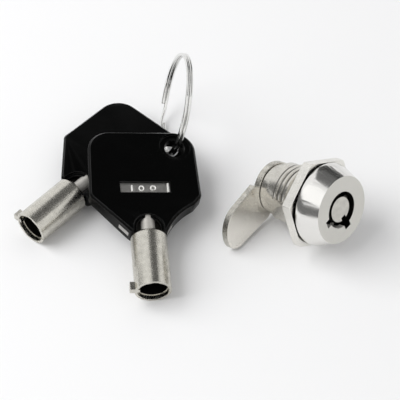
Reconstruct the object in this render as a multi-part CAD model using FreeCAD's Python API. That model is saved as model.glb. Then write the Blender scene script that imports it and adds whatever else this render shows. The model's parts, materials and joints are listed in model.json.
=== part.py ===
import FreeCAD, Part
import math
import os

# Round-key cylinder lock lying on a table, with its two keys on a split ring.
# Everything is in millimetres. The row frame has Z up, and its origin is at the
# middle of the whole set's box, on the table.
#
# The lock's own frame has +Z out of the front face and the face at Z = 0, so a
# depth is measured back from the face. Its angles start at the notch that the
# key goes in at, and grow anticlockwise seen from the front.
# A key's own frame starts at the tip of its barrel, with Y along the key to the
# head, X across the head and Z out of its face.

Vector = FreeCAD.Vector
ORIGIN = Vector(0, 0, 0)
FRONT = Vector(0, 0, 1)
BACK = Vector(0, 0, -1)
ALONG = Vector(0, 1, 0)

# Housing: head, threaded part, smooth part and rear boss
face_dia = 18.0
rim_dia = 22.0
cone_depth = 5.2
rim_width = 0.7
thread_dia = 16.0
thread_length = 7.6
thread_runout = 0.3
barrel_dia = 15.4
body_length = 14.5
shoulder_bevel = 0.9
boss_dia = 13.2
boss_length = 2.0
across_flats = 13.2
bore_dia = 11.3

# Hex nut on the body
nut_across_flats = 22.0
nut_thickness = 2.8
nut_gap = 0.65
nut_chamfer = 0.35
nut_clearance = 0.05

# Key barrel, and the opening that takes it
key_dia = 9.5
key_wall = 0.7
key_reach = 4.2
lug_height = 1.2
lug_width = 1.8
lug_length = 2.2
lug_setback = 0.15
key_clearance = 0.15
lip_thickness = 1.6

# Spindle
post_dia = 6.8
post_setback = 0.4
slot_width = 1.5
slot_depth = 0.9
flange_start = 5.0
flange_length = 7.0
tail_dia = 6.0
tail_flats = 4.8
tail_setback = 0.1
stud_dia = 4.0
stud_end_spare = 0.4
turn_angle = 90.0
running_clearance = 0.05

# Pins round the spindle, and the fixed sleeve behind it
pin_count = 7
pin_step = 45.0
pin_circle_dia = 8.6
pin_dia = 1.5
pin_nose = 0.25
pin_clearance = 0.05
pin_front_depth = 1.8
driver_length = 3.0
spring_wall = 0.28
sleeve_length = 9.7
sleeve_floor = 1.2
cross_pin_dia = 1.5
cross_hole_spare = 0.5
stop_groove_depth = 0.33
stop_pin_setback = 1.5
sleeve_pin_setback = 5.0
sleeve_pin_reach = 1.4

# Depth of each cut in the key's tip, in steps
cut_step = 0.12
cut_steps = [1, 2, 1, 2, 2, 1, 2]
cut_dia = 1.9

# Cam, lock washer and cam nut
cam_gap = 0.2
cam_thickness = 1.9
cam_hub_dia = 14.0
cam_tip_reach = 21.0
cam_upper_root = 6.3
cam_upper_half = 5.6
cam_lower_half = 5.1
cam_neck_half = 4.6
cam_neck_end = 4.9
cam_flare_end = 6.3
cam_lower_tip_radius = 3.4
cam_hole_clearance = 0.08
washer_dia = 8.6
washer_thickness = 0.6
washer_teeth = 10
washer_tooth_depth = 0.8
washer_gap_share = 0.42
cam_nut_across_flats = 7.0
cam_nut_thickness = 2.2
cam_nut_chamfer = 0.25
corner_slope = 30.0

# Key barrel and stem
barrel_length = 16.5
mouth_step_depth = 1.3
mouth_step = 0.25
barrel_bore_depth = 12.4
tip_bevel = 0.2
barrel_shoulder = 0.8
nib_height = 0.6
nib_width = 1.2
stem_dia = 4.0
stem_in_barrel = 3.0
stem_in_head = 8.0
stem_clearance = 0.02

# Key head
head_length = 32.0
head_half_width = 14.8
head_top_half_width = 14.2
head_side_height = 11.4
head_thickness = 3.8
neck_thickness = 5.4
neck_half_width = 4.7
neck_taper_start = 2.0
neck_taper_past_corner = 2.6
neck_taper_blend = 40.0
right_corner_x = 12.6
right_corner_y = 8.7
right_hollow_depth = 1.0
top_corner_radius = 6.0
side_corner_radius = 2.2
hollow_corner_radius = 1.6
neck_corner_radius = 0.7
head_edge_bevel = 0.55
scoop_radius = 3.2
scoop_offset = 1.4
scoop_floor = -0.4
scoop_step = 0.8
window_width = 13.2
window_height = 3.4
window_y = 14.1
window_recess = 0.6
ring_hole_dia = 5.5
ring_hole_x = 9.0
ring_hole_y = 27.3
dish_dia = 8.4
dish_depth = 1.0

# Metal tag inside the key head
tag_thickness = 1.5
tag_web_width = 9.0
tag_bar_start = 0.6
tag_bar_end = 3.2
tag_top = 17.0

# Split ring
wire_dia = 1.15
ring_outer_dia = 28.0
ring_pitch = 1.6
ring_start_angle = 313.0
ring_end_angle = 290.0

# Where things lie on the table, worked out from the photograph
lock_heading = -41.7
lock_face_x = 36.2
lock_face_y = -16.0
front_key_tip_x = -11.8
front_key_tip_y = -34.2
front_key_yaw = 5.3
front_key_tilt = 6.9
front_key_roll = -7.8
rear_key_tip_x = -44.3
rear_key_tip_y = -13.7
rear_key_yaw = -41.4
rear_key_tilt = -0.1
rear_key_roll = -1.3
ring_heading = 93.9
ring_lean = 16.0
ring_back_shift = -0.2
ring_side_shift = -0.14

# How far a cut runs past the solid it cuts
spare = 1.0


# Sizes that follow from the driving ones
head_depth = cone_depth + rim_width
thread_end = head_depth + thread_length
shoulder_depth = head_depth + body_length
rear_depth = shoulder_depth + boss_length
opening_radius = key_dia / 2 + key_clearance
notch_radius = key_dia / 2 + lug_height + key_clearance
notch_width = lug_width + 2 * key_clearance
groove_depth = key_reach + key_clearance
shear_depth = flange_start + flange_length
sleeve_front = shear_depth + running_clearance
sleeve_rear = sleeve_front + sleeve_length
nut_front = head_depth + nut_gap
nut_rear = nut_front + nut_thickness
cam_front = rear_depth + cam_gap
cam_rear = cam_front + cam_thickness
washer_rear = cam_rear + washer_thickness
cam_nut_rear = washer_rear + cam_nut_thickness
tail_end = cam_rear - tail_setback
stud_end = cam_nut_rear + stud_end_spare
pin_circle_radius = pin_circle_dia / 2
chamber_radius = pin_dia / 2 + pin_clearance
ring_radius = (ring_outer_dia - wire_dia) / 2
neck_taper_end = head_side_height + neck_taper_past_corner


def polar(radius, degrees, depth):
    """Point of the lock at a radius, an angle and a depth."""
    turn = math.radians(degrees)
    return Vector(radius * math.cos(turn), radius * math.sin(turn), -depth)


def rod(dia, start, end, degrees=0.0, off_axis=0.0):
    """Round rod along the lock's axis between two depths."""
    return Part.makeCylinder(dia / 2, end - start, polar(off_axis, degrees, end), FRONT)


def tube(outer_dia, inner_dia, start, end):
    """Round tube along the lock's axis between two depths."""
    return rod(outer_dia, start, end).cut(rod(inner_dia, start - spare, end + spare))


def turned(profile):
    """Solid turned about the lock's axis from radius and depth pairs."""
    points = [Vector(radius, 0, -depth) for radius, depth in profile]
    face = Part.Face(Part.makePolygon(points + [points[0]]))
    return face.revolve(ORIGIN, FRONT, 360)


def block(x_low, x_high, y_low, y_high, z_low, z_high):
    """Box between two corners."""
    size = Vector(x_high - x_low, y_high - y_low, z_high - z_low)
    return Part.makeBox(size.x, size.y, size.z, Vector(x_low, y_low, z_low))


def joined(shapes):
    """One clean solid from several that meet."""
    whole = shapes[0].fuse(shapes[1:])
    return whole.removeSplitter()


def pin_angle(index):
    """Angle of a pin, counted from the key slot."""
    return (index + 1) * pin_step


def key_cut_depth(index):
    """Depth of the cut in the key's tip that meets this pin."""
    return cut_steps[index % len(cut_steps)] * cut_step


def pin_travel(index):
    """How far the key pushes this pin back."""
    return key_reach - key_cut_depth(index) - pin_front_depth


def key_notch(degrees):
    """Notch in the front lip that lets the key's lug through."""
    half = notch_width / 2
    notch = block(0, notch_radius, -half, half, -lip_thickness - key_clearance, spare)
    return notch.rotated(ORIGIN, FRONT, degrees)


def cross_hole(depth, dia, reach):
    """Round hole or pin across the wall, on the side of the key slot."""
    inner = bore_dia / 2 - reach
    start = Vector(inner, 0, -depth)
    return Part.makeCylinder(dia / 2, thread_dia / 2 - inner, start, Vector(1, 0, 0))


def body_flats(length_start, length_end):
    """The two slabs that leave the body's flats."""
    wide = thread_dia
    half = across_flats / 2
    upper = block(-wide, wide, half, wide, -length_end, -length_start)
    lower = block(-wide, wide, -wide, -half, -length_end, -length_start)
    return upper.fuse(lower)


def housing():
    """Head, body and rear boss in one casting, bored through."""
    body = turned([
        (0, 0),
        (face_dia / 2, 0),
        (rim_dia / 2, cone_depth),
        (rim_dia / 2, head_depth),
        (thread_dia / 2, head_depth),
        (thread_dia / 2, thread_end),
        (barrel_dia / 2, thread_end + thread_runout),
        (barrel_dia / 2, shoulder_depth - shoulder_bevel),
        (boss_dia / 2, shoulder_depth),
        (boss_dia / 2, rear_depth),
        (0, rear_depth),
    ])
    body = body.cut(body_flats(head_depth, rear_depth + spare))
    hollow = turned([
        (0, -spare),
        (opening_radius, -spare),
        (opening_radius, lip_thickness),
        (notch_radius, lip_thickness),
        (notch_radius, groove_depth),
        (bore_dia / 2, groove_depth),
        (bore_dia / 2, rear_depth + spare),
        (0, rear_depth + spare),
    ])
    cuts = [hollow, key_notch(0), key_notch(-turn_angle)]
    cuts.append(cross_hole(stop_pin_depth(), cross_pin_dia, cross_hole_spare))
    cuts.append(cross_hole(sleeve_pin_depth(), cross_pin_dia, cross_hole_spare))
    return body.cut(cuts)


def stop_pin_depth():
    """Depth of the stop pin's axis."""
    return shear_depth - stop_pin_setback


def sleeve_pin_depth():
    """Depth of the sleeve pin's axis."""
    return sleeve_front + sleeve_pin_setback


def stop_pin():
    """Cross pin in the spindle's stop groove, flush with the body."""
    reach = stop_groove_depth - running_clearance
    return cross_hole(stop_pin_depth(), cross_pin_dia, reach).common(body_envelope())


def sleeve_pin():
    """Cross pin that holds the pin sleeve, flush with the body."""
    return cross_hole(sleeve_pin_depth(), cross_pin_dia, sleeve_pin_reach).common(body_envelope())


def body_envelope():
    """Outside of the body behind the head, without its bore."""
    threaded = rod(thread_dia, head_depth, thread_end)
    return threaded.fuse(rod(barrel_dia, thread_end, shoulder_depth))


def hex_prism(flats, start, end, corner_degrees):
    """Hexagonal prism along the lock's axis with a corner at an angle."""
    corner = flats / math.sqrt(3)
    points = [polar(corner, corner_degrees + 60 * k, end) for k in range(7)]
    face = Part.Face(Part.makePolygon(points))
    return face.extrude(Vector(0, 0, end - start))


def corner_rise(chamfer):
    """Height of the cone that a nut's chamfer leaves at its corners."""
    return chamfer * math.tan(math.radians(corner_slope))


def hexagon_nut(flats, hole_dia, start, end, chamfer, corner_degrees):
    """Hex nut with both faces turned to a cone at the corners."""
    corner = flats / math.sqrt(3)
    rise = corner_rise(chamfer)
    lathe = turned([
        (0, start),
        (corner - chamfer, start),
        (corner, start + rise),
        (corner, end - rise),
        (corner - chamfer, end),
        (0, end),
    ])
    nut = hex_prism(flats, start, end, corner_degrees).common(lathe)
    return nut.cut(rod(hole_dia, start - spare, end + spare))


def hex_nut():
    """Fixing nut on the body's thread, one corner down."""
    hole = thread_dia + 2 * nut_clearance
    return hexagon_nut(nut_across_flats, hole, nut_front, nut_rear, nut_chamfer, down_angle)


def cam_nut():
    """Nut that holds the cam, one corner down."""
    hole = stud_dia + 2 * nut_clearance
    return hexagon_nut(
        cam_nut_across_flats, hole, washer_rear, cam_nut_rear, cam_nut_chamfer, down_angle)


def tail_profile(clearance, start, end):
    """Round tail with two flats, as solid or as hole."""
    half = tail_flats / 2 + clearance
    wide = tail_dia
    strip = block(-wide, wide, -half, half, -end, -start)
    return rod(tail_dia + 2 * clearance, start, end).common(strip)


def spindle():
    """Post with the key slot, flange with the pin holes, flatted tail and stud."""
    flange_dia = bore_dia - 2 * running_clearance
    post = rod(post_dia, post_setback, flange_start)
    flange = rod(flange_dia, flange_start, shear_depth)
    tail = rod(tail_dia, shear_depth, rear_depth)
    flatted = tail_profile(0, rear_depth, tail_end)
    stud = rod(stud_dia, tail_end, stud_end)
    body = joined([post, flange, tail, flatted, stud])
    slot = block(
        post_dia / 2 - slot_depth, post_dia, -slot_width / 2, slot_width / 2,
        -flange_start, 0)
    cuts = [slot]
    for index in range(pin_count):
        cuts.append(rod(
            2 * chamber_radius, flange_start - spare, shear_depth + spare,
            pin_angle(index), pin_circle_radius))
    cuts.append(stop_groove(flange_dia / 2))
    return body.cut(cuts)


def stop_groove(flange_radius):
    """Groove round a quarter of the flange that the stop pin runs in."""
    half = cross_pin_dia / 2 + running_clearance
    depth = stop_pin_depth()
    floor = bore_dia / 2 - stop_groove_depth
    profile = [
        (floor, depth - half),
        (flange_radius + spare, depth - half),
        (flange_radius + spare, depth + half),
        (floor, depth + half),
    ]
    points = [Vector(radius, 0, -back) for radius, back in profile]
    face = Part.Face(Part.makePolygon(points + [points[0]]))
    lead = math.degrees(half / floor)
    face.rotate(ORIGIN, FRONT, -lead)
    return face.revolve(ORIGIN, FRONT, turn_angle + 2 * lead)


def key_pin(index):
    """Loose pin in the spindle, with a domed front end."""
    front = pin_front_depth
    rear = shear_depth - pin_travel(index)
    pin = rod(pin_dia, front, rear, pin_angle(index), pin_circle_radius)
    return pin.makeChamfer(pin_nose, [end_edge(pin, -front)])


def end_edge(shape, level):
    """The round edge of a shape that lies at a height."""
    found = [edge for edge in shape.Edges
             if abs(edge.BoundBox.ZMin - level) < 1e-6 and abs(edge.BoundBox.ZMax - level) < 1e-6]
    return found[0]


def pin_sleeve():
    """Fixed block with seven blind chambers for the drivers and springs."""
    outer = bore_dia - 2 * running_clearance
    inner = tail_dia + 2 * running_clearance
    body = tube(outer, inner, sleeve_front, sleeve_rear)
    cuts = []
    for index in range(pin_count):
        cuts.append(rod(
            2 * chamber_radius, sleeve_front - spare, sleeve_rear - sleeve_floor,
            pin_angle(index), pin_circle_radius))
    cuts.append(cross_hole(sleeve_pin_depth(), cross_pin_dia, sleeve_pin_reach))
    return body.cut(cuts)


def driver_pins():
    """Seven drivers, drawn level with the line where the spindle turns."""
    return Part.makeCompound([
        rod(pin_dia, sleeve_front, sleeve_front + driver_length,
            pin_angle(index), pin_circle_radius)
        for index in range(pin_count)])


def pin_springs():
    """Seven springs between drivers and chamber floors, as plain sleeves."""
    start = sleeve_front + driver_length
    end = sleeve_rear - sleeve_floor
    springs = []
    for index in range(pin_count):
        outer = rod(pin_dia, start, end, pin_angle(index), pin_circle_radius)
        inner = rod(pin_dia - 2 * spring_wall, start - spare, end + spare,
                    pin_angle(index), pin_circle_radius)
        springs.append(outer.cut(inner))
    return Part.makeCompound(springs)


def arc_through(centre, radius, first, last):
    """Arc in the X Y plane between two angles."""
    def at(degrees):
        turn = math.radians(degrees)
        return centre + Vector(radius * math.cos(turn), radius * math.sin(turn), 0)
    return Part.Arc(at(first), at((first + last) / 2), at(last)).toShape()


def straight(start, end):
    """Straight edge between two points."""
    return Part.LineSegment(start, end).toShape()


def cam_leaf():
    """Outline of the leaf with X to the tip and Y to the lower edge."""
    upper_radius = cam_upper_half + cam_lower_half - cam_lower_tip_radius
    tip_y = cam_lower_half - cam_lower_tip_radius
    upper_centre = Vector(cam_tip_reach - upper_radius, tip_y, 0)
    lower_centre = Vector(cam_tip_reach - cam_lower_tip_radius, tip_y, 0)
    points = [
        Vector(cam_tip_reach - cam_lower_tip_radius, cam_lower_half, 0),
        Vector(cam_flare_end, cam_lower_half, 0),
        Vector(cam_neck_end, cam_neck_half, 0),
        Vector(0, cam_neck_half, 0),
        Vector(0, -cam_neck_half, 0),
        Vector(cam_neck_end, -cam_neck_half, 0),
        Vector(cam_flare_end, -cam_upper_root, 0),
        Vector(cam_tip_reach - upper_radius, -cam_upper_half, 0),
    ]
    edges = [straight(points[k], points[k + 1]) for k in range(len(points) - 1)]
    edges.append(arc_through(upper_centre, upper_radius, -90, 0))
    edges.append(arc_through(lower_centre, cam_lower_tip_radius, 0, 90))
    face = Part.Face(Part.Wire(edges))
    return face.extrude(Vector(0, 0, cam_thickness))


def cam():
    """Flat cam: round hub, flared leaf and rounded tip."""
    leaf = cam_leaf().translated(Vector(0, 0, -cam_rear))
    leaf = leaf.rotated(ORIGIN, FRONT, -turn_angle)
    plate = joined([leaf, rod(cam_hub_dia, cam_front, cam_rear)])
    return plate.cut(tail_profile(cam_hole_clearance, cam_front - spare, cam_rear + spare))


def lock_washer():
    """Toothed washer between cam and cam nut."""
    washer = tube(washer_dia, stud_dia + 2 * nut_clearance, cam_rear, washer_rear)
    step = 360.0 / washer_teeth
    width = math.pi * washer_dia / washer_teeth * washer_gap_share
    gaps = []
    for k in range(washer_teeth):
        gap = block(
            washer_dia / 2 - washer_tooth_depth, washer_dia, -width / 2, width / 2,
            -washer_rear - spare, -cam_rear + spare)
        gaps.append(gap.rotated(ORIGIN, FRONT, k * step))
    return washer.cut(gaps)


def rest_lean():
    """Slope of the lock when it lies on a corner of the hex nut and on the cam's hub."""
    drop = nut_across_flats / math.sqrt(3) - cam_hub_dia / 2
    run = cam_rear - (nut_rear - corner_rise(nut_chamfer))
    return math.degrees(math.atan2(drop, run))


def rest_roll():
    """Lock angle that points down when the cam's tip touches the table too."""
    reach_x = cam_tip_reach - cam_lower_tip_radius
    reach_y = cam_lower_half - cam_lower_tip_radius
    reach = math.hypot(reach_x, reach_y)
    lead = math.degrees(math.atan2(reach_y, reach_x))
    swing = math.degrees(math.acos((cam_hub_dia / 2 - cam_lower_tip_radius) / reach))
    return lead + swing - turn_angle


def lock_placement():
    """Where the lock lies: its face centre and its three directions."""
    lean = math.radians(rest_lean())
    heading = math.radians(lock_heading)
    front = Vector(
        math.cos(lean) * math.cos(heading), math.cos(lean) * math.sin(heading), math.sin(lean))
    down = Vector(
        math.sin(lean) * math.cos(heading), math.sin(lean) * math.sin(heading), -math.cos(lean))
    side = front.cross(down)
    roll = math.radians(down_angle)
    x_axis = down * math.cos(roll) - side * math.sin(roll)
    y_axis = down * math.sin(roll) + side * math.cos(roll)
    rise = corner_rise(nut_chamfer)
    corner = nut_across_flats / math.sqrt(3)
    height = (nut_rear - rise) * math.sin(lean) + corner * math.cos(lean)
    spin = FreeCAD.Rotation(x_axis, y_axis, front, "ZXY")
    return FreeCAD.Placement(Vector(lock_face_x, lock_face_y, height), spin)


def turned_key(profile):
    """Solid turned about a key's axis from radius and distance pairs."""
    points = [Vector(radius, along, 0) for radius, along in profile]
    face = Part.Face(Part.makePolygon(points + [points[0]]))
    return face.revolve(ORIGIN, ALONG, 360)


def key_rod(dia, start, end, degrees=0.0, off_axis=0.0):
    """Round rod along a key's axis."""
    turn = math.radians(degrees)
    base = Vector(off_axis * math.cos(turn), start, off_axis * math.sin(turn))
    return Part.makeCylinder(dia / 2, end - start, base, ALONG)


def key_barrel():
    """Hollow barrel with lug, nib and the seven tip cuts."""
    outer = key_dia / 2
    mouth = outer - key_wall
    inner = mouth - mouth_step
    body = turned_key([
        (mouth, 0),
        (outer - tip_bevel, 0),
        (outer, tip_bevel),
        (outer, barrel_length - barrel_shoulder),
        (outer - barrel_shoulder, barrel_length),
        (stem_dia / 2, barrel_length),
        (stem_dia / 2, barrel_length - stem_in_barrel),
        (0, barrel_length - stem_in_barrel),
        (0, barrel_bore_depth),
        (inner, barrel_bore_depth),
        (inner, mouth_step_depth),
        (mouth, mouth_step_depth),
    ])
    lug = block(
        -outer - lug_height, -mouth - key_wall / 2, lug_setback, lug_setback + lug_length,
        -lug_width / 2, lug_width / 2)
    nib = block(
        -mouth - key_wall / 2, -mouth + nib_height, lug_setback, lug_setback + lug_length,
        -nib_width / 2, nib_width / 2)
    body = joined([body, lug, nib])
    cuts = []
    for index in range(pin_count):
        cuts.append(key_rod(
            cut_dia, -spare, key_cut_depth(index), 180 - pin_angle(index), pin_circle_radius))
    return body.cut(cuts)


def key_stem():
    """Round pin that joins the barrel to the head."""
    start = barrel_length - stem_in_barrel
    return key_rod(stem_dia, start, barrel_length + stem_in_head)


def head_outline():
    """Flat outline of the key head, hollow on its right side by the neck."""
    base = barrel_length
    left = [
        Vector(-neck_half_width, base, 0),
        Vector(-head_half_width, base + head_side_height, 0),
        Vector(-head_top_half_width, base + head_length, 0),
        Vector(head_top_half_width, base + head_length, 0),
        Vector(head_half_width, base + head_side_height, 0),
        Vector(right_corner_x, base + right_corner_y, 0),
    ]
    neck = Vector(neck_half_width, base, 0)
    edges = [straight(left[k], left[k + 1]) for k in range(len(left) - 1)]
    chord = neck - left[-1]
    inward = Vector(chord.y, -chord.x, 0)
    inward.normalize()
    middle = (left[-1] + neck) * 0.5 + inward * right_hollow_depth
    edges.append(Part.Arc(left[-1], middle, neck).toShape())
    edges.append(straight(neck, left[0]))
    return Part.Face(Part.Wire(edges))


def upright_edges(shape, places):
    """Straight edges along Z that stand at the given X Y places."""
    found = []
    for edge in shape.Edges:
        box = edge.BoundBox
        if box.XLength > 1e-4 or box.YLength > 1e-4:
            continue
        for x, y in places:
            if abs(box.Center.x - x) < 1e-3 and abs(box.Center.y - y) < 1e-3:
                found.append(edge)
    return found


def head_plate():
    """Key head before its openings: rounded outline, thicker at the neck."""
    base = barrel_length
    plate = head_outline().extrude(Vector(0, 0, neck_thickness))
    plate.translate(Vector(0, 0, -neck_thickness / 2))
    top = base + head_length
    side = base + head_side_height
    plate = plate.makeFillet(top_corner_radius, upright_edges(
        plate, [(-head_top_half_width, top), (head_top_half_width, top)]))
    plate = plate.makeFillet(side_corner_radius, upright_edges(
        plate, [(-head_half_width, side), (head_half_width, side)]))
    plate = plate.makeFillet(hollow_corner_radius, upright_edges(
        plate, [(right_corner_x, base + right_corner_y)]))
    plate = plate.makeFillet(neck_corner_radius, upright_edges(
        plate, [(-neck_half_width, base), (neck_half_width, base)]))
    return plate.common(taper_prism())


def taper_prism():
    """Prism across the head that is thick at the neck and thin beyond it."""
    upper = taper_side(neck_thickness / 2, head_thickness / 2)
    lower = [Vector(point.x, point.y, -point.z) for point in upper]
    run = neck_taper_end - neck_taper_start
    slope = math.atan2((neck_thickness - head_thickness) / 2, run)
    trim = neck_taper_blend * math.tan(slope / 2)
    edges = blended_path(upper, trim) + blended_path(lower, trim)
    edges.append(straight(upper[0], lower[0]))
    edges.append(straight(upper[-1], lower[-1]))
    face = Part.Face(Part.Wire(Part.__sortEdges__(edges)))
    return face.extrude(Vector(4 * head_half_width, 0, 0))


def taper_side(thick, thin):
    """Corners of one face of the head, seen from its side."""
    base = barrel_length
    levels = [
        (base - spare, thick), (base + neck_taper_start, thick),
        (base + neck_taper_end, thin), (base + head_length + spare, thin)]
    return [Vector(-2 * head_half_width, y, z) for y, z in levels]


def blended_path(points, trim):
    """Lines through points, with an arc at each inner corner."""
    edges = []
    start = points[0]
    for k in range(1, len(points) - 1):
        corner = points[k]
        back = (start - corner).normalize()
        ahead = (points[k + 1] - corner).normalize()
        enter = corner + back * trim
        leave = corner + ahead * trim
        edges.append(straight(start, enter))
        edges.append(bend(enter, corner, leave))
        start = leave
    edges.append(straight(start, points[-1]))
    return edges


def bevelled_rims(plate):
    """Head with the long edges of its side walls bevelled."""
    rims = []
    for face in plate.Faces:
        if face.BoundBox.ZLength > head_thickness / 2:
            rims += [edge for edge in face.Edges
                     if abs(edge.BoundBox.Center.z) > head_thickness / 4]
    return plate.makeChamfer(head_edge_bevel, rims)


def key_tag():
    """Metal insert: window pad, web, and a bar that shows at both sides of the neck."""
    base = barrel_length
    half = tag_thickness / 2
    pad_top = head_thickness / 2 - window_recess
    web = block(-tag_web_width / 2, tag_web_width / 2, base + tag_bar_start,
                base + tag_top, -half, half)
    bar = block(-head_half_width, head_half_width, base + tag_bar_start,
                base + tag_bar_end, -half, half)
    outline = head_outline().extrude(Vector(0, 0, 2 * neck_thickness))
    outline.translate(Vector(0, 0, -neck_thickness))
    bar = bar.common(outline)
    pad = block(-window_width / 2, window_width / 2,
                base + window_y - window_height / 2, base + window_y + window_height / 2,
                -half, pad_top)
    plate = joined([web, bar, pad])
    bed = key_rod(stem_dia + 2 * stem_clearance, base - spare,
                  base + stem_in_head + stem_clearance)
    return plate.cut(bed)


def key_head():
    """Moulded head with window, scoop, stem socket, tag pocket and ring hole."""
    base = barrel_length
    body = bevelled_rims(head_plate())
    window = block(-window_width / 2, window_width / 2,
                   base + window_y - window_height / 2, base + window_y + window_height / 2,
                   0, neck_thickness)
    scoop_centre = Vector(0, base + scoop_offset, scoop_floor)
    scoop = Part.makeCylinder(scoop_radius, neck_thickness, scoop_centre, FRONT)
    scoop_mouth = block(-scoop_radius, scoop_radius, base - spare, base + scoop_offset,
                        scoop_floor, neck_thickness)
    step_centre = Vector(0, base + scoop_offset, neck_thickness / 2 - scoop_step)
    step = Part.makeCylinder(scoop_radius + scoop_step, neck_thickness, step_centre, FRONT)
    step_mouth = block(-scoop_radius - scoop_step, scoop_radius + scoop_step, base - spare,
                       base + scoop_offset, step_centre.z, neck_thickness)
    socket = key_rod(stem_dia + 2 * stem_clearance, base - spare,
                     base + stem_in_head + stem_clearance)
    place = Vector(ring_hole_x, base + ring_hole_y, -neck_thickness)
    hole = Part.makeCylinder(ring_hole_dia / 2, 2 * neck_thickness, place, FRONT)
    face_height = head_thickness / 2 - dish_depth
    top_dish = Part.makeCylinder(
        dish_dia / 2, neck_thickness, Vector(place.x, place.y, face_height), FRONT)
    low_dish = Part.makeCylinder(
        dish_dia / 2, neck_thickness, Vector(place.x, place.y, -face_height), BACK)
    cuts = [window, scoop, scoop_mouth, step, step_mouth, socket, hole, top_dish, low_dish]
    return body.cut(cuts + [key_tag()])


def key_placement(tip_x, tip_y, yaw, tilt, roll):
    """Where a key lies: one end of its barrel rests on the table."""
    turn = FreeCAD.Rotation(FRONT, yaw)
    rise = FreeCAD.Rotation(Vector(1, 0, 0), tilt)
    bank = FreeCAD.Rotation(ALONG, -roll)
    spin = turn.multiply(rise).multiply(bank)
    lowest = tip_bevel if tilt > 0 else barrel_length - barrel_shoulder
    slope = math.radians(tilt)
    height = key_dia / 2 * math.cos(slope) - lowest * math.sin(slope)
    return FreeCAD.Placement(Vector(tip_x, tip_y, height), spin)


def biarc(start, start_way, end, end_way):
    """Two arcs that meet smoothly and leave and arrive in the given ways."""
    span = end - start
    ways = start_way + end_way
    a = 2 * (1 - start_way.dot(end_way))
    b = 2 * span.dot(ways)
    arm = (-b + math.sqrt(b * b + 4 * a * span.dot(span))) / (2 * a)
    first = start + start_way * arm
    last = end - end_way * arm
    joint = (first + last) * 0.5
    return [bend(start, first, joint), bend(joint, last, end)]


def bend(start, corner, end):
    """Arc that touches two equal sides of a corner at their ends."""
    middle = (start + end) * 0.5
    half_chord = (end - start).Length / 2
    side = (corner - start).Length
    slant = math.acos(half_chord / side)
    sagitta = half_chord * (1 - math.cos(slant)) / math.sin(slant)
    outward = corner - middle
    outward.normalize()
    return Part.Arc(start, middle + outward * sagitta, end).toShape()


def ring_point(angle, side):
    """Point on the middle of the ring's wire, in one of its two flat turns."""
    slope = math.radians(angle)
    return Vector(
        ring_radius * math.cos(slope), ring_radius * math.sin(slope), side * ring_pitch / 2)


def ring_way(angle):
    """Direction of the ring's wire at an angle."""
    slope = math.radians(angle)
    return Vector(-math.sin(slope), math.cos(slope), 0)


def ring_joints():
    """Angles and sides of the wire's arcs, a flat turn, a crossing and a flat turn."""
    sweep = ring_end_angle + 360 - ring_start_angle
    joints = []
    for side, first in ((-1, ring_start_angle), (1, ring_start_angle + 360)):
        joints += [(first + sweep * k / 4, side) for k in range(5)]
    return joints


def ring_gap(path):
    """Least gap between one turn of the wire and the next, measured on points."""
    points = path.discretize(Number=361)
    third = len(points) // 3
    spans = [(points[k] - other).Length
             for k in range(len(points)) for other in points[k + third:]]
    return min(spans) - wire_dia


def key_ring():
    """Split ring: one round wire in two turns, side by side."""
    joints = ring_joints()
    edges = []
    for (angle, side), (next_angle, next_side) in zip(joints, joints[1:]):
        edges += biarc(ring_point(angle, side), ring_way(angle),
                       ring_point(next_angle, next_side), ring_way(next_angle))
    path = Part.Wire(edges)
    angle, side = joints[0]
    circle = Part.Wire(Part.makeCircle(wire_dia / 2, ring_point(angle, side), ring_way(angle)))
    wire = path.makePipeShell([circle], True, False)
    print("key ring: least gap between turns %.2f mm" % ring_gap(path))
    return wire


def hole_place(placement):
    """Centre of a key's ring hole on the table."""
    return placement.multVec(Vector(ring_hole_x, barrel_length + ring_hole_y, 0))


def ring_placement(front_key):
    """Ring standing on the table and leaning, with its wire in the front key's hole."""
    lean = math.radians(ring_lean)
    heading = math.radians(ring_heading)
    away = Vector(math.cos(heading), math.sin(heading), 0)
    sideways = away.cross(FRONT)
    rise = FRONT * math.cos(lean) + sideways * math.sin(lean)
    normal = away.cross(rise)
    height = ring_radius * math.cos(lean) + ring_pitch / 2 * math.sin(lean) + wire_dia / 2
    hole = hole_place(front_key)
    below = (height - hole.z) / math.cos(lean)
    back = math.sqrt(ring_radius ** 2 - below ** 2) + ring_back_shift
    centre = hole + away * back + rise * below + sideways * ring_side_shift
    centre.z = height
    spin = FreeCAD.Rotation(away, rise, normal, "ZXY")
    return FreeCAD.Placement(centre, spin)


down_angle = rest_roll()
lock_at = lock_placement()
front_key_at = key_placement(
    front_key_tip_x, front_key_tip_y, front_key_yaw, front_key_tilt, front_key_roll)
rear_key_at = key_placement(
    rear_key_tip_x, rear_key_tip_y, rear_key_yaw, rear_key_tilt, rear_key_roll)
ring_at = ring_placement(front_key_at)


def lock_pieces():
    """All nodes of the lock in its own frame."""
    pieces = {
        "housing": housing(),
        "hex_nut": hex_nut(),
        "spindle": spindle(),
        "pin_sleeve": pin_sleeve(),
        "driver_pins": driver_pins(),
        "pin_springs": pin_springs(),
        "sleeve_pin": sleeve_pin(),
        "stop_pin": stop_pin(),
        "cam": cam(),
        "lock_washer": lock_washer(),
        "cam_nut": cam_nut(),
    }
    for index in range(pin_count):
        pieces["key_pin_%d" % (index + 1)] = key_pin(index)
    return pieces


def key_pieces():
    """All nodes of one key in its own frame."""
    return {
        "barrel": key_barrel(),
        "stem": key_stem(),
        "head": key_head(),
        "tag": key_tag(),
    }


def placed_pieces():
    """Every node where it lies on the table."""
    placed = {}
    for name, shape in lock_pieces().items():
        placed[name] = moved(shape, lock_at)
    for name, shape in key_pieces().items():
        placed["front_key_" + name] = moved(shape, front_key_at)
        placed["rear_key_" + name] = moved(shape, rear_key_at)
    placed["key_ring"] = moved(key_ring(), ring_at)
    return placed


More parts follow.
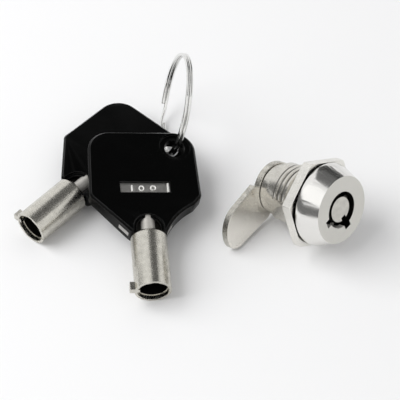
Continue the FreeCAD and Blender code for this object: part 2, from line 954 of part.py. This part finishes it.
def moved(shape, placement):
    """Copy of a shape at a placement."""
    copy = shape.copy()
    copy.Placement = placement.multiply(copy.Placement)
    return copy


def main():
    os.makedirs("parts", exist_ok=True)
    placed = placed_pieces()
    box = Part.makeCompound(list(placed.values())).optimalBoundingBox(False, False)
    shift = Vector(-box.Center.x, -box.Center.y, -box.ZMin)
    for name, shape in placed.items():
        shape.translate(shift)
        shape.exportStep("parts/%s.step" % name)
    print("box", round(box.XLength, 2), round(box.YLength, 2), round(box.ZLength, 2),
          "lowest", round(box.ZMin, 3))
    print("lean %.2f down angle %.2f" % (rest_lean(), down_angle))
    for name, at in (("lock", lock_at), ("front_key", front_key_at),
                     ("rear_key", rear_key_at), ("ring", ring_at)):
        base = at.Base + shift
        axes = [at.Rotation.multVec(way) for way in (Vector(1, 0, 0), ALONG, FRONT)]
        print("frame", name, tuple(base), [tuple(axis) for axis in axes])
    print("ring hole front", tuple(hole_place(front_key_at) + shift),
          "rear", tuple(hole_place(rear_key_at) + shift))


main()
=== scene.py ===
import json
import math

import bmesh
import bpy
from mathutils import Matrix, Vector


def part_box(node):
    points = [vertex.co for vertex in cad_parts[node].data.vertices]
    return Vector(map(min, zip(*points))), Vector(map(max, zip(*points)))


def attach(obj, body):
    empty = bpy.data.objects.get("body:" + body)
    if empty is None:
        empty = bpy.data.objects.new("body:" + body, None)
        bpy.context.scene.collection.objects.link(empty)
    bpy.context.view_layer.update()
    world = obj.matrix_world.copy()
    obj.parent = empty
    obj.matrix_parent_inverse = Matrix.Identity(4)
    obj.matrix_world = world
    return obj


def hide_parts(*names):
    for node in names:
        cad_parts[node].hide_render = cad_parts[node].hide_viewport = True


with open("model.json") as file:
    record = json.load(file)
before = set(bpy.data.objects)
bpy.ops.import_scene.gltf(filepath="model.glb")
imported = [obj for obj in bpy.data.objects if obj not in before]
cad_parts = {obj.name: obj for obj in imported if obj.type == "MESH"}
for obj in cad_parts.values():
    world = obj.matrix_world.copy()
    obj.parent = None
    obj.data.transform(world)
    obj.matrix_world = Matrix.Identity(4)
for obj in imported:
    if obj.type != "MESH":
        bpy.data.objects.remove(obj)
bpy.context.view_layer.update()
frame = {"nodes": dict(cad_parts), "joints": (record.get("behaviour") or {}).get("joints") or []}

mm = 0.001  # pieces are shaped in millimetres and placed in metres
up = Vector((0, 0, 1))
nodes = frame["nodes"]


# Where the lock, the keys and the ring lie

places = {
    "slotFromDown": 6.23,      # degrees the key slot stands away from straight down
    "hingeDepth": 8.0,         # depth of the turning joint's point behind the lock's face
    "stemMiddle": 19.0,        # from the key's tip to the middle of its stem
    "ringHole": (9.0, 43.8),   # the ring's hole in a key, across and along from the tip
    "ringCentre": (-3.476, 21.585, 13.700),
    "ringHeading": 93.9,
    "ringLean": 16.0,
}


def joint(name):
    return next(j for j in frame["joints"] if j["name"] == name)


def axesToMatrix(x, y, z, origin):
    turn = Matrix((x, y, z)).transposed().to_4x4()
    return Matrix.Translation(origin) @ turn @ Matrix.Scale(mm, 4)


def lockPlace():
    # x to the key slot, z out of the face, from the middle of the face
    turning = joint("spindle_turn")
    front = -Vector(turning["axis"]).normalized()
    origin = Vector(turning["pos_m"]) + front * places["hingeDepth"] * mm
    down = (front * front.dot(up) - up).normalized()
    side = front.cross(down)
    roll = math.radians(places["slotFromDown"])
    slot = down * math.cos(roll) + side * math.sin(roll)
    return axesToMatrix(slot, front.cross(slot), front, origin)


def keyPlace(key):
    # y from the tip to the head, z out of the head's face, from the middle of the tip
    swing = joint(key + "_swing")
    face = -Vector(swing["axis"]).normalized()
    low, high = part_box(key + "_stem")
    stem = (Vector(low) + Vector(high)) / 2
    across, along = places["ringHole"]
    along -= places["stemMiddle"]
    toHole = Vector(swing["pos_m"]) - stem
    keyway = (toHole * along + face.cross(toHole) * across).normalized()
    return axesToMatrix(keyway.cross(face), keyway, face, stem - keyway * places["stemMiddle"] * mm)


def ringPlace():
    # x and y in the ring's plane, z along its axis, from its middle
    heading, lean = math.radians(places["ringHeading"]), math.radians(places["ringLean"])
    away = Vector((math.cos(heading), math.sin(heading), 0))
    rise = up * math.cos(lean) + away.cross(up) * math.sin(lean)
    return axesToMatrix(away, rise, away.cross(rise), Vector(places["ringCentre"]) * mm)


lockAt = lockPlace()
keyAt = {key: keyPlace(key) for key in ("front_key", "rear_key")}
ringAt = ringPlace()
print("places worked out from the frame")


# Materials

def newMaterial(name, colour, rough, metal=0.0, **more):
    mat = bpy.data.materials.new(name)
    mat.use_nodes = True
    shader = mat.node_tree.nodes["Principled BSDF"]
    shader.inputs["Base Color"].default_value = (*colour, 1)
    shader.inputs["Roughness"].default_value = rough
    shader.inputs["Metallic"].default_value = metal
    for socket, value in more.items():
        shader.inputs[socket.replace("_", " ")].default_value = value
    return mat, mat.node_tree, shader


def objectNoise(tree, scale, stretch=1.0, **values):
    # a stretch below one draws the pattern out along the lock's axis
    coords = tree.nodes.new("ShaderNodeTexCoord")
    turned = tree.nodes.new("ShaderNodeMapping")
    turned.inputs["Rotation"].default_value = lockAt.to_3x3().normalized().transposed().to_euler()
    scaled = tree.nodes.new("ShaderNodeMapping")
    scaled.inputs["Scale"].default_value = (1, 1, stretch)
    noise = tree.nodes.new("ShaderNodeTexNoise")
    noise.inputs["Scale"].default_value = scale
    for socket, value in values.items():
        noise.inputs[socket].default_value = value
    tree.links.new(coords.outputs["Object"], turned.inputs["Vector"])
    tree.links.new(turned.outputs["Vector"], scaled.inputs["Vector"])
    tree.links.new(scaled.outputs["Vector"], noise.inputs["Vector"])
    return noise


def roughFrom(tree, shader, noise, low, high):
    spread = tree.nodes.new("ShaderNodeMapRange")
    spread.inputs["To Min"].default_value = low
    spread.inputs["To Max"].default_value = high
    tree.links.new(noise.outputs[0], spread.inputs["Value"])
    tree.links.new(spread.outputs["Result"], shader.inputs["Roughness"])


def bumpFrom(tree, shader, noise, strength, distance):
    bump = tree.nodes.new("ShaderNodeBump")
    bump.inputs["Strength"].default_value = strength
    bump.inputs["Distance"].default_value = distance
    tree.links.new(noise.outputs[0], bump.inputs["Height"])
    tree.links.new(bump.outputs["Normal"], shader.inputs["Normal"])


def colourFrom(tree, shader, noise, low, high):
    ramp = tree.nodes.new("ShaderNodeValToRGB")
    for stop, position, colour in zip(ramp.color_ramp.elements, (0.3, 0.7), (low, high)):
        stop.position = position
        stop.color = (*colour, 1)
    tree.links.new(noise.outputs[0], ramp.inputs["Fac"])
    tree.links.new(ramp.outputs["Color"], shader.inputs["Base Color"])


def metalFinish(name, values):
    colour, rough = values["colour"], values["rough"]
    mat, tree, shader = newMaterial(name, colour, rough, values.get("metal", 1.0))
    grain = objectNoise(tree, values["grain"], values.get("stretch", 1.0), Detail=4.0)
    roughFrom(tree, shader, grain, rough * 0.7, rough * 1.4)
    bumpFrom(tree, shader, grain, values["bump"], values["depth"])
    patches = objectNoise(tree, values["patch"], Detail=3.0)
    colourFrom(tree, shader, patches, [part * values["stain"] for part in colour], colour)
    return mat


# grain and patch are scales, depth is in metres, stain is how much darker the patches are
metals = {
    "mirrorCone": {"colour": (0.82, 0.81, 0.785), "rough": 0.17, "grain": 1800, "bump": 0.16,
                   "depth": 0.00002, "patch": 160, "stain": 0.96, "stretch": 0.10},
    "satinFace": {"colour": (0.66, 0.65, 0.61), "rough": 0.42, "grain": 5200, "bump": 0.10,
                  "depth": 0.00002, "patch": 140, "stain": 0.95},
    "bodyPlate": {"colour": (0.70, 0.68, 0.63), "rough": 0.24, "grain": 900, "bump": 0.40,
                  "depth": 0.00007, "patch": 260, "stain": 0.82},
    "nutPlate": {"colour": (0.86, 0.845, 0.80), "rough": 0.24, "grain": 3400, "bump": 0.60,
                 "depth": 0.00008, "patch": 260, "stain": 0.88},
    "camPlate": {"colour": (0.80, 0.775, 0.72), "rough": 0.24, "grain": 1800, "bump": 0.05,
                 "depth": 0.00002, "patch": 120, "stain": 0.92},
    "camEdge": {"colour": (0.66, 0.64, 0.58), "rough": 0.20, "grain": 2000, "bump": 0.95,
                "depth": 0.00020, "patch": 700, "stain": 0.62},
    "stemNickel": {"colour": (0.64, 0.62, 0.58), "rough": 0.45, "grain": 2400, "bump": 0.50,
                   "depth": 0.00006, "patch": 600, "stain": 0.85, "metal": 0.45},
    "barrelNickel": {"colour": (0.66, 0.64, 0.58), "rough": 0.25, "grain": 3000, "bump": 0.60,
                     "depth": 0.00005, "patch": 600, "stain": 0.80},
    # painted shade: dark metal for the thread's root and the plain body behind the thread
    "threadShade": {"colour": (0.24, 0.23, 0.21), "rough": 0.40, "grain": 1600, "bump": 0.20,
                    "depth": 0.00003, "patch": 400, "stain": 0.80},
    # painted shade: near black, for the inside of the opening, the recess behind the face, the spindle
    # behind the post's front, the key barrels' bores and the tag round the stem
    "boreShade": {"colour": (0.035, 0.033, 0.030), "rough": 0.45, "grain": 1600, "bump": 0.20,
                  "depth": 0.00003, "patch": 400, "stain": 0.80},
    "postSteel": {"colour": (0.64, 0.625, 0.58), "rough": 0.34, "grain": 3000, "bump": 0.4,
                  "depth": 0.00004, "patch": 700, "stain": 0.84},
    "ringWire": {"colour": (0.80, 0.80, 0.785), "rough": 0.10, "grain": 1200, "bump": 0.08,
                 "depth": 0.00002, "patch": 300, "stain": 0.92},
    "markSteel": {"colour": (0.95, 0.94, 0.91), "rough": 0.22, "grain": 1600, "bump": 0.12,
                  "depth": 0.00003, "patch": 500, "stain": 0.90, "metal": 0.40},
    "tagSteel": {"colour": (0.52, 0.51, 0.49), "rough": 0.42, "grain": 1600, "bump": 0.25,
                 "depth": 0.00004, "patch": 500, "stain": 0.80},
    # painted shade: the key pins deep in the opening are painted dark steel
    "pinSteelPaintedShade": {"colour": (0.16, 0.155, 0.145), "rough": 0.35, "grain": 2000, "bump": 0.10,
                 "depth": 0.00002, "patch": 300, "stain": 0.85},
    "pinBrass": {"colour": (0.78, 0.60, 0.33), "rough": 0.30, "grain": 2000, "bump": 0.10,
                 "depth": 0.00002, "patch": 300, "stain": 0.90},
}

# peel is the moulding's fine waviness, wear the patches where hands have polished it
plastics = {
    "peel": {"scale": 700, "bump": 0.06, "depth": 0.00004},
    "wear": 260,
}

plasticFinishes = {
    "headPlastic": {"colour": (0.0009, 0.0010, 0.0010), "gloss": 0.10, "rough": (0.16, 0.32)},
    # rounded rims of the heads: glossier from wear, and painted lighter as a highlight
    "headEdgeWearAndHighlight": {"colour": (0.010, 0.010, 0.010), "gloss": 1.0, "rough": (0.14, 0.34)},
}

# painted highlight for the lit part of the opening's wall: pale colours, little metal, streaks
lip = {
    "colours": ((0.60, 0.58, 0.54), (0.86, 0.84, 0.80)),
    "middle": (0.80, 0.78, 0.73),
    "rough": 0.45,
    "metal": 0.25,
    "highlightStreaks": 3000,
    "stretch": 0.3,
}


def plasticFinish(name, values):
    mat, tree, shader = newMaterial(
        name, values["colour"], values["rough"][0], Specular_IOR_Level=values["gloss"])
    peel = plastics["peel"]
    bumpFrom(tree, shader, objectNoise(tree, peel["scale"], Detail=2.0), peel["bump"], peel["depth"])
    wear = objectNoise(tree, plastics["wear"], Detail=6.0, Roughness=0.7)
    roughFrom(tree, shader, wear, *values["rough"])
    return mat


def lipHighlightFinish():
    # painted highlight: the opening's lower wall is painted pale and streaked, so that it shows bright
    mat, tree, shader = newMaterial("paintedLipHighlight", lip["middle"], lip["rough"], lip["metal"])
    highlightStreaks = objectNoise(tree, lip["highlightStreaks"], lip["stretch"], Detail=3.0)
    colourFrom(tree, shader, highlightStreaks, *lip["colours"])
    return mat


finish = {name: metalFinish(name, values) for name, values in metals.items()}
finish.update({name: plasticFinish(name, values) for name, values in plasticFinishes.items()})
finish["paintedLipHighlight"] = lipHighlightFinish()
print("materials made")


# Meshes and objects

def meshOf(shape, name):
    mesh = bpy.data.meshes.new(name)
    shape.to_mesh(mesh)
    shape.free()
    return mesh


def linked(name, data):
    piece = bpy.data.objects.new(name, data)
    bpy.context.scene.collection.objects.link(piece)
    return piece


def shown(mesh, body, materials, sharp):
    for name in materials:
        mesh.materials.append(finish[name])
    for face in mesh.polygons:
        face.use_smooth = True
    mesh.set_sharp_from_angle(angle=math.radians(sharp))
    piece = linked(mesh.name, mesh)
    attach(piece, body)
    return piece


def roundEdges(shape, edges, width, segments=3):
    bmesh.ops.bevel(
        shape, geom=list(edges), offset=width, segments=segments, profile=0.5,
        affect="EDGES", material=-1)


def wholeShape(shape):
    return shape.verts[:] + shape.edges[:] + shape.faces[:]


def placedMesh(shape, name, place):
    bmesh.ops.recalc_face_normals(shape, faces=shape.faces)
    bmesh.ops.transform(shape, matrix=place, verts=shape.verts)
    return meshOf(shape, name)


# Finished copies of the exact solids: welded, painted face by face, with small worn edges

squareOn = 0.9   # a normal that lies this much along an axis faces that way
near = 0.05      # how far off a plane a face may lie and still count as on it

copies = {
    "weld": 0.002,       # points nearer than this become one
    "flatBelow": 0.4,    # degrees between triangles that belong to one flat face
    "sharpFrom": 32,     # degrees from which an edge is sharp, and worn
}


def wearEdges(piece, width, segments, material):
    bevel = piece.modifiers.new("wornEdges", "BEVEL")
    bevel.width = width * mm
    bevel.segments = segments
    bevel.limit_method = "ANGLE"
    bevel.angle_limit = math.radians(copies["sharpFrom"])
    bevel.use_clamp_overlap = True
    bevel.harden_normals = True
    bevel.material = material


def weldedCopy(node, reshape):
    shape = bmesh.new()
    shape.from_mesh(nodes[node].data)
    bmesh.ops.remove_doubles(shape, verts=shape.verts, dist=copies["weld"] * mm)
    bmesh.ops.dissolve_limit(
        shape, angle_limit=math.radians(copies["flatBelow"]), verts=shape.verts, edges=shape.edges,
        delimit={"NORMAL"})
    if reshape:
        reshape(shape)
    return meshOf(shape, node + "Finished")


def paintFaces(mesh, materials, place, choose):
    toPiece = place.inverted()
    turn = toPiece.to_3x3()
    for face in mesh.polygons:
        name = choose(toPiece @ face.center, (turn @ face.normal).normalized())
        face.material_index = materials.index(name)


def finishCopy(node, body, materials, edge, segments=2, choose=None, place=None,
               reshape=None, edgeSlot=-1):
    mesh = weldedCopy(node, reshape)
    piece = shown(mesh, body, materials, copies["sharpFrom"])
    if choose:
        paintFaces(mesh, materials, place, choose)
    if edge:
        wearEdges(piece, edge, segments, edgeSlot)
    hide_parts(node)


# The lock

lock = {
    "coneEnd": 5.95,            # depth behind the face
    "coneInner": 8.3,
    "innerRadius": 6.3,         # nearer the axis than this is inside
    "litWall": (-82, -8),       # degrees from the slot, where the opening's wall catches the light
    "litDepth": 5.0,
    "lipDepth": 1.0,
    "postShadeDepth": 1.5,
    "flangeEnd": 12.1,
    "bodyRadius": 7.7,
    "flat": 6.6,
    "threadSolid": 8.0,         # radius of the plain cylinder where the ridge is to stand
    "threadDepths": (5.9, 13.5),
    "threadRoot": 7.42,
    "threadCrest": 7.97,
    "threadPitch": 1.5,
    "threadTurns": 7.5,
    "threadEnd": 17.1,
    "threadSteps": 64,
    "threadSharp": 25,
    "threadFoot": 0.3,          # how deep the ridge stands in the root
    "threadShares": (0.05, 0.06, 0.32, 0.68, 0.94, 0.95),   # of the pitch, at foot, root and crest
}


def housingPaint(at, normal):
    depth, radius = -at.z, math.hypot(at.x, at.y)
    inside = radius < lock["innerRadius"]
    upright = abs(normal.z) < squareOn
    low, high = lock["litWall"]
    if normal.z > squareOn and depth < near:
        return "satinFace"
    if depth < lock["coneEnd"] and radius > lock["coneInner"]:
        return "mirrorCone"
    # the part of the opening's wall where the light falls gets the painted highlight
    if inside and low < math.degrees(math.atan2(at.y, at.x)) < high and depth < lock["litDepth"]:
        return "paintedLipHighlight"
    # the rest of the inside and the recess behind the face get painted shade
    if inside and upright or lock["lipDepth"] < depth < lock["coneEnd"]:
        return "boreShade"
    # the thread's root and the body behind it, up to threadEnd, get painted shade
    threaded = lock["threadDepths"][0] < depth < lock["threadEnd"] and upright
    if threaded and not inside and radius < lock["bodyRadius"] + near and abs(at.y) < lock["flat"] - near:
        return "threadShade"
    return "bodyPlate"


def spindlePaint(at, normal):
    # from postShadeDepth back to the flange's end the spindle gets painted shade
    if -at.z < lock["postShadeDepth"]:
        return "postSteel"
    return "boreShade" if -at.z < lock["flangeEnd"] else "nutPlate"


def camPaint(at, normal):
    return "camPlate" if abs(normal.z) > squareOn else "camEdge"


def cutToRoot(shape):
    # the thread's cylinder goes down to the root, and the ridge stands on it
    toLock = lockAt.inverted()
    root, solid = lock["threadRoot"], lock["threadSolid"]
    low, high = lock["threadDepths"]
    onThread, onFlat = 0.03, 0.01
    # the cut at threadEnd is where the painted shade behind the thread stops
    bmesh.ops.bisect_plane(
        shape, geom=wholeShape(shape), dist=0.001 * mm,
        plane_co=lockAt @ Vector((0, 0, -lock["threadEnd"])),
        plane_no=lockAt.to_3x3().col[2].normalized())
    for vert in shape.verts:
        at = toLock @ vert.co
        radius = math.hypot(at.x, at.y)
        if abs(radius - solid) > onThread or not low - near < -at.z < high + near:
            continue
        if abs(abs(at.y) - lock["flat"]) < onFlat:
            at.x = math.copysign(math.sqrt(root ** 2 - at.y ** 2), at.x)
        else:
            at.x *= root / radius
            at.y *= root / radius
        vert.co = lockAt @ at


def addThread():
    # one closed ridge wound round the body; both ends run out on a flat
    shape = bmesh.new()
    root, crest, pitch, turns = (
        lock[name] for name in ("threadRoot", "threadCrest", "threadPitch", "threadTurns"))
    foot = root - lock["threadFoot"]
    start = lock["threadDepths"][0] - pitch
    outline = zip((foot, root, crest, crest, root, foot), lock["threadShares"])
    section = [shape.verts.new((0, radius, -start - share * pitch)) for radius, share in outline]
    face = shape.faces.new(section)
    bmesh.ops.spin(
        shape, geom=[face] + list(face.edges) + section, cent=(0, 0, 0), axis=(0, 0, 1),
        dvec=(0, 0, -pitch / lock["threadSteps"]), angle=math.tau * turns,
        steps=round(lock["threadSteps"] * turns), use_merge=False, use_duplicate=False)
    for side in (1, -1):
        cut = bmesh.ops.bisect_plane(
            shape, geom=wholeShape(shape), dist=0.0001,
            plane_co=(0, side * lock["flat"], 0), plane_no=(0, side, 0), clear_outer=True)
        edges = [part for part in cut["geom_cut"] if isinstance(part, bmesh.types.BMEdge)]
        bmesh.ops.holes_fill(shape, edges=edges, sides=0)
    bmesh.ops.remove_doubles(shape, verts=shape.verts, dist=0.001)
    mesh = placedMesh(shape, "threadRidge", lockAt)
    shown(mesh, "lock", ["bodyPlate"], lock["threadSharp"])


finishCopy("housing", "lock",
           ["satinFace", "mirrorCone", "bodyPlate", "boreShade", "paintedLipHighlight", "threadShade"],
           0.10, 3, housingPaint, lockAt, cutToRoot)
finishCopy("stop_pin", "lock", ["postSteel"], 0, reshape=cutToRoot)
finishCopy("hex_nut", "hex_nut", ["nutPlate"], 0.12, 3)
finishCopy("spindle", "spindle", ["postSteel", "boreShade", "nutPlate"],
           0.10, 2, spindlePaint, lockAt)
finishCopy("cam", "spindle", ["camPlate", "camEdge"], 0.16, 3, camPaint, lockAt)
finishCopy("lock_washer", "spindle", ["nutPlate"], 0.06)
finishCopy("cam_nut", "spindle", ["nutPlate"], 0.10, 3)
addThread()
print("lock finished")


# The keys

key = {
    "boreRadius": 3.95,
    "boreDepths": (1.35, 12.5),
    "cutReach": 0.70,           # how far from the tip the cuts are drawn in
    "cutShare": 0.45,
    "tagFront": 0.85,           # above this the tag is the window's pad
    "tagSide": 4.6,             # past this across the key the tag shows in the head's sides
}

window = {
    "middle": (0.0, 30.6),
    "level": 1.24,
    "size": (12.9, 3.1),
    "corner": 0.75,
    "cornerSteps": 5,
    "wide": 0.30,
    "rise": 0.34,
    "edge": 0.09,
    "sharpFrom": 32,
    "bars": [(6.1, 0.0, 0.55, 2.9, 0.52), (-3.45, -0.1, 0.50, 2.0, 0.34)],   # across, along, sizes
    "barEdge": 0.14,
    "loops": [(-0.95, -0.05, 0.78, 0.95), (2.15, 0.05, 0.85, 0.85)],          # across, along, half sizes
    "loopWire": 0.24,
    "loopSides": 12,
    "loopSteps": 36,
    "loopRise": 0.08,
}


def barrelPaint(at, normal):
    # the barrel's bore gets painted shade
    low, high = key["boreDepths"]
    inside = math.hypot(at.x, at.z) < key["boreRadius"] and low < at.y < high
    return "boreShade" if inside else "barrelNickel"


def tagPaint(at, normal):
    # the tag round the stem, where the plastic reaches over the metal, gets the dark painted shade
    inWindow = at.z > key["tagFront"]
    inSide = abs(at.x) > key["tagSide"] and abs(normal.z) < squareOn
    return "tagSteel" if inWindow or inSide else "boreShade"


def shallowCuts(place):
    # the tip's notches are worn nearly flush with the rim
    def reshape(shape):
        toKey = place.inverted()
        for vert in shape.verts:
            at = toKey @ vert.co
            if at.y < key["cutReach"]:
                at.y *= key["cutShare"]
                vert.co = place @ at
    return reshape


def addFrame(shape):
    # thin raised frame with rounded corners on the metal insert
    bmesh.ops.create_grid(shape, x_segments=1, y_segments=1, size=0.5)
    bmesh.ops.scale(shape, vec=(*window["size"], 1), verts=shape.verts)
    bmesh.ops.bevel(
        shape, geom=shape.verts[:], offset=window["corner"], segments=window["cornerSteps"],
        profile=0.5, affect="VERTICES", material=-1)
    rim = bmesh.ops.inset_region(shape, faces=shape.faces[:], thickness=window["wide"])["faces"]
    inner = [face for face in shape.faces if face not in rim]
    bmesh.ops.delete(shape, geom=inner, context="FACES")
    raised = bmesh.ops.extrude_face_region(shape, geom=shape.faces[:])["geom"]
    corners = [part for part in raised if isinstance(part, bmesh.types.BMVert)]
    bmesh.ops.translate(shape, vec=(0, 0, window["rise"]), verts=corners)
    limit = math.radians(window["sharpFrom"])
    sharp = [edge for edge in shape.edges if edge.is_manifold and edge.calc_face_angle() > limit]
    roundEdges(shape, sharp, window["edge"])


def addBar(shape, across, along, width, length, rise):
    made = bmesh.ops.create_cube(shape, size=1.0)["verts"]
    bmesh.ops.scale(shape, vec=(width, length, rise), verts=made)
    bmesh.ops.translate(shape, vec=(across, along, rise / 2), verts=made)
    roundEdges(shape, {edge for vert in made for edge in vert.link_edges}, window["barEdge"])


def addLoop(shape, across, along, halfWidth, halfLength):
    wire = window["loopWire"]
    section = bmesh.ops.create_circle(
        shape, cap_ends=False, segments=window["loopSides"], radius=wire)["verts"]
    bmesh.ops.rotate(shape, verts=section, cent=(0, 0, 0), matrix=Matrix.Rotation(math.pi / 2, 3, "X"))
    bmesh.ops.translate(shape, verts=section, vec=(1 - wire, 0, 0))
    edges = list({edge for vert in section for edge in vert.link_edges})
    before = set(shape.verts) - set(section)
    bmesh.ops.spin(
        shape, geom=section + edges, cent=(0, 0, 0), axis=(0, 0, 1), dvec=(0, 0, 0),
        angle=math.tau, steps=window["loopSteps"], use_merge=True, use_duplicate=False)
    made = [vert for vert in shape.verts if vert not in before]
    bmesh.ops.scale(shape, vec=(halfWidth, halfLength, 1), verts=made)
    bmesh.ops.translate(shape, vec=(across, along, window["loopRise"]), verts=made)


def addWindowPieces(name, place):
    shape = bmesh.new()
    addFrame(shape)
    for bar in window["bars"]:
        addBar(shape, *bar)
    for loop in window["loops"]:
        addLoop(shape, *loop)
    toKey = Matrix.Translation((*window["middle"], window["level"]))
    mesh = placedMesh(shape, name + "WindowFrame", place @ toKey)
    shown(mesh, name, ["markSteel"], window["sharpFrom"])


for name, place in keyAt.items():
    finishCopy(name + "_barrel", name, ["barrelNickel", "boreShade"], 0.12, 3,
               barrelPaint, place, shallowCuts(place))
    finishCopy(name + "_stem", name, ["stemNickel"], 0.30, 3)
    # the heads' rounded rims get the lighter edge plastic, partly a painted highlight
    finishCopy(name + "_head", name, ["headPlastic", "headEdgeWearAndHighlight"], 0.13, edgeSlot=1)
    finishCopy(name + "_tag", name, ["tagSteel", "boreShade"], 0.06,
               choose=tagPaint, place=place)
    addWindowPieces(name, place)
print("keys finished")


# The split ring

ring = {
    "radius": 13.5,
    "wire": (0.50, 0.46),       # half sizes of the wire, outward and sideways
    "sides": 20,
    "pitch": 0.94,
    "startAngle": 313.0,
    # degrees and share of the sideways step: a flat turn, the crossing, a flat turn
    "stretches": [(333, 0.0), (9, 0.2), (12, 0.6), (9, 0.2), (334, 0.0)],
    "stepAngle": 2.5,
    "endEdge": 0.14,
    "sharpFrom": 40,
}


def addRing():
    # round wire: a flat turn, a short crossing to the next layer and a second flat turn
    shape = bmesh.new()
    section = bmesh.ops.create_circle(shape, cap_ends=True, segments=ring["sides"], radius=1.0)["verts"]
    bmesh.ops.scale(shape, vec=(*ring["wire"], 1), verts=section)
    bmesh.ops.rotate(shape, verts=section, cent=(0, 0, 0), matrix=Matrix.Rotation(math.pi / 2, 3, "X"))
    bmesh.ops.translate(shape, verts=section, vec=(ring["radius"], 0, -ring["pitch"] / 2))
    turn = Matrix.Rotation(math.radians(ring["startAngle"]), 3, "Z")
    bmesh.ops.rotate(shape, verts=section, cent=(0, 0, 0), matrix=turn)
    last = wholeShape(shape)
    for degrees, share in ring["stretches"]:
        steps = max(2, round(degrees / ring["stepAngle"]))
        last = bmesh.ops.spin(
            shape, geom=last, cent=(0, 0, 0), axis=(0, 0, 1), dvec=(0, 0, share * ring["pitch"] / steps),
            angle=math.radians(degrees), steps=steps, use_merge=False, use_duplicate=False)["geom_last"]
    ends = {edge for face in shape.faces if len(face.verts) > 4 for edge in face.edges}
    roundEdges(shape, ends, ring["endEdge"])
    mesh = placedMesh(shape, "ringFinished", ringAt)
    piece = shown(mesh, "key_ring", ["ringWire"], ring["sharpFrom"])
    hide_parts("key_ring")


addRing()
print("ring finished")


# Pieces inside the lock keep their exact solids

def paintNode(node, material):
    mesh = nodes[node].data
    mesh.materials.clear()
    mesh.materials.append(finish[material])


for node in ("pin_sleeve", "driver_pins"):
    paintNode(node, "pinBrass")
for node in ("pin_springs", "sleeve_pin"):
    paintNode(node, "postSteel")
# the key pins take the painted shade
for node in nodes:
    if node.startswith("key_pin_"):
        paintNode(node, "pinSteelPaintedShade")
print("pins painted")


# Floor, light and camera

studio = {
    "floorColour": (0.90, 0.90, 0.905),
    "floorSize": 4.0,
    "lamps": {
        "keyLight": {"place": (-0.74, 0.02, 0.70), "size": 0.95, "power": 9.9},
        "fillLight": {"place": (0.30, -0.80, 0.60), "size": 0.9, "power": 0.5},
    },
    "skyLight": 0.53,
    # cards that only show in polished surfaces: how bright, then the corners
    "cards": {
        "topCard": (0.14, [(-0.12, -0.35, 0.90), (0.70, -0.35, 0.90),
                           (0.70, 1.30, 0.90), (-0.12, 1.30, 0.90)]),
        "backCard": (0.06, [(-0.10, 1.20, 0.22), (1.00, 1.20, 0.22),
                            (1.00, 1.20, 1.00), (-0.10, 1.20, 1.00)]),
        "leftCard": (0.16, [(-1.00, 0.40, 0.08), (-1.00, -1.80, 0.10),
                            (-1.00, -1.80, 0.95), (-1.00, 0.40, 0.62)]),
        "lampCard": (1.22, [(-1.25, -0.95, 1.05), (-0.32, -0.95, 1.05),
                            (-0.32, 0.28, 1.05), (-1.25, 0.28, 1.05)]),
    },
    "aim": (3.04, -0.74, 0.0),
    "elevation": 50.0,
    "distance": 464.5,
    "lens": 155.9,
}


def stagePiece(mesh, material):
    mesh.materials.append(material)
    piece = linked(mesh.name, mesh)
    return piece


def pointFrom(obj, place, back):
    obj.location = place
    obj.rotation_mode = "QUATERNION"
    obj.rotation_quaternion = (-back).to_track_quat("-Z", "Y")


def addFloor():
    shape = bmesh.new()
    bmesh.ops.create_grid(shape, x_segments=1, y_segments=1, size=studio["floorSize"] / 2)
    paper = newMaterial("floorPaper", studio["floorColour"], 0.9)[0]
    stagePiece(meshOf(shape, "floor"), paper)


def addCard(name, light, corners):
    shape = bmesh.new()
    shape.faces.new([shape.verts.new(corner) for corner in corners])
    glow = newMaterial(
        name + "Glow", (0, 0, 0), 1.0, Specular_IOR_Level=0.0,
        Emission_Color=(1, 1, 1, 1), Emission_Strength=light)[0]
    card = stagePiece(meshOf(shape, name), glow)
    card.visible_camera = False
    card.visible_diffuse = False
    card.visible_shadow = False


def addLamp(name, values):
    lamp = bpy.data.lights.new(name, "AREA")
    lamp.shape = "SQUARE"
    lamp.size = values["size"]
    lamp.energy = values["power"]
    obj = linked(name, lamp)
    pointFrom(obj, values["place"], Vector(values["place"]))
    obj.visible_glossy = False


def lightWorld():
    world = bpy.data.worlds.new("studio")
    bpy.context.scene.world = world
    world.use_nodes = True
    tree = world.node_tree
    sky = tree.nodes["Background"]
    sky.inputs["Color"].default_value = (1, 1, 1, 1)
    sky.inputs["Strength"].default_value = studio["skyLight"]
    seen = tree.nodes.new("ShaderNodeBackground")
    seen.inputs["Color"].default_value = (1, 1, 1, 1)
    rays = tree.nodes.new("ShaderNodeLightPath")
    either = tree.nodes.new("ShaderNodeMath")
    either.operation = "MAXIMUM"
    mix = tree.nodes.new("ShaderNodeMixShader")
    tree.links.new(rays.outputs["Is Camera Ray"], either.inputs[0])
    tree.links.new(rays.outputs["Is Glossy Ray"], either.inputs[1])
    tree.links.new(either.outputs[0], mix.inputs["Fac"])
    tree.links.new(sky.outputs[0], mix.inputs[1])
    tree.links.new(seen.outputs[0], mix.inputs[2])
    tree.links.new(mix.outputs[0], tree.nodes["World Output"].inputs["Surface"])


def addCamera():
    camera = bpy.data.cameras.new("camera")
    camera.lens = studio["lens"]
    camera.sensor_width = 36
    camera.clip_start, camera.clip_end = 0.01, 20
    obj = linked("camera", camera)
    slope = math.radians(studio["elevation"])
    back = Vector((0, -math.cos(slope), math.sin(slope)))
    pointFrom(obj, (Vector(studio["aim"]) + back * studio["distance"]) * mm, back)
    bpy.context.scene.camera = obj


addFloor()
for name, (light, corners) in studio["cards"].items():
    addCard(name, light, corners)
for name, values in studio["lamps"].items():
    addLamp(name, values)
lightWorld()
addCamera()
bpy.context.scene.view_settings.view_transform = "Standard"
print("studio set")
